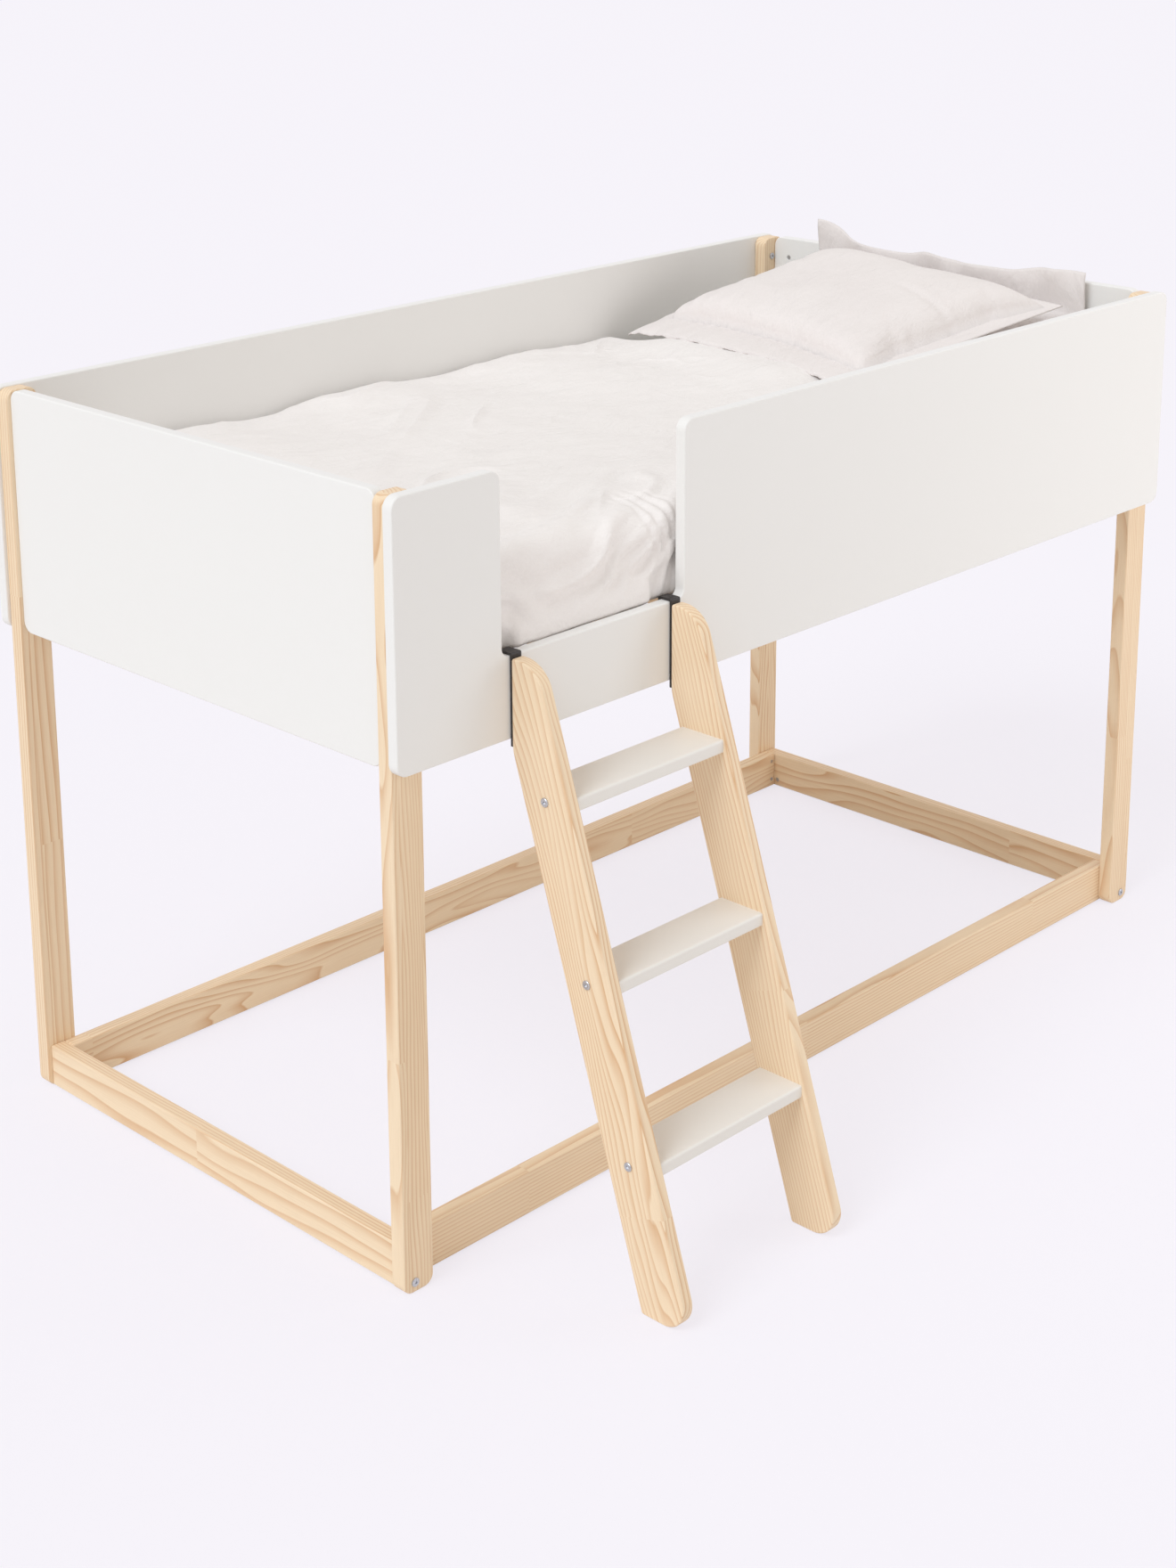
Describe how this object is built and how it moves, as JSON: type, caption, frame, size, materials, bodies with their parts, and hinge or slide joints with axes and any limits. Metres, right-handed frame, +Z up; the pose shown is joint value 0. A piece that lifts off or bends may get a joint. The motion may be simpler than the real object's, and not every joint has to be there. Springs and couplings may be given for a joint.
{
  "type": "loft bed",
  "caption": "Mid-height loft bed: pine posts and floor rails, white board guards with an entry cut-out, slatted base, hook-on ladder, mattress, duvet and two pillows.",
  "frame": {"origin": "on the floor, under the centre of the whole box, ladder included", "axes": "+X from the foot end to the head end, +Y from the ladder side to the back side, +Z up"},
  "size_m": [2, 1.3465, 1.3288],
  "materials": {
    "pine": "clear-lacquered solid pine with visible grain and small knots",
    "white_board": "satin white lacquered board with rounded edges",
    "black_steel": "black powder-coated flat bar and screws",
    "zinc_steel": "zinc-plated fasteners",
    "beech_dowel": "plain fluted hardwood dowels",
    "mattress_cover": "off-white woven ticking",
    "bed_linen": "plain white cotton, softly creased",
    "pillow_linen": "plain white cotton with a faint warm tint"
  },
  "bodies": {
    "frame": {"post_front_foot": "pine", "post_front_head": "pine", "post_back_foot": "pine", "post_back_head": "pine", "foot_rail": "pine", "head_rail": "pine", "front_rail": "pine", "back_rail": "pine", "front_cleat": "pine", "back_cleat": "pine", "foot_cleat": "pine", "head_cleat": "pine", "slat_01": "pine", "slat_02": "pine", "slat_03": "pine", "slat_04": "pine", "slat_05": "pine", "slat_06": "pine", "slat_07": "pine", "slat_08": "pine", "slat_09": "pine", "slat_10": "pine", "slat_11": "pine", "slat_12": "pine", "slat_13": "pine", "slat_14": "pine", "front_panel": "white_board", "back_panel": "white_board", "foot_panel": "white_board", "head_panel": "white_board", "frame_bolts": "zinc_steel", "frame_barrel_nuts": "zinc_steel", "rail_screws": "zinc_steel", "end_panel_bolts": "zinc_steel", "end_panel_barrel_nuts": "zinc_steel", "side_panel_bolts": "zinc_steel", "side_panel_inserts": "zinc_steel", "cleat_screws": "zinc_steel", "slat_screws": "zinc_steel", "frame_dowels": "beech_dowel"},
    "ladder": {"ladder_stringer_left": "pine", "ladder_stringer_right": "pine", "ladder_step_1": "white_board", "ladder_step_2": "white_board", "ladder_step_3": "white_board", "ladder_hook_left": "black_steel", "ladder_hook_right": "black_steel", "ladder_step_bolts": "zinc_steel", "ladder_step_barrel_nuts": "zinc_steel", "ladder_hook_screws": "black_steel", "ladder_step_dowels": "beech_dowel"},
    "mattress": {"mattress": "mattress_cover"},
    "duvet": {"duvet": "bed_linen"},
    "pillow_back": {"pillow_back": "pillow_linen"},
    "pillow_front": {"pillow_front": "pillow_linen"}
  },
  "joints": [
    {"name": "ladder_lift", "type": "slide", "parent": "frame", "child": "ladder", "axis": [0, 0, 1], "range_m": [0, 0.08]},
    {"name": "mattress_lift", "type": "slide", "parent": "frame", "child": "mattress", "axis": [0, 0, 1], "range_m": [0, 0.32]},
    {"name": "duvet_lift", "type": "slide", "parent": "mattress", "child": "duvet", "axis": [0, 0, 1], "range_m": [0, 0.32]},
    {"name": "pillow_back_lift", "type": "slide", "parent": "duvet", "child": "pillow_back", "axis": [0, 0, 1], "range_m": [0, 0.3]},
    {"name": "pillow_front_lift", "type": "slide", "parent": "pillow_back", "child": "pillow_front", "axis": [0, 0, 1], "range_m": [0, 0.2]}
  ]
}
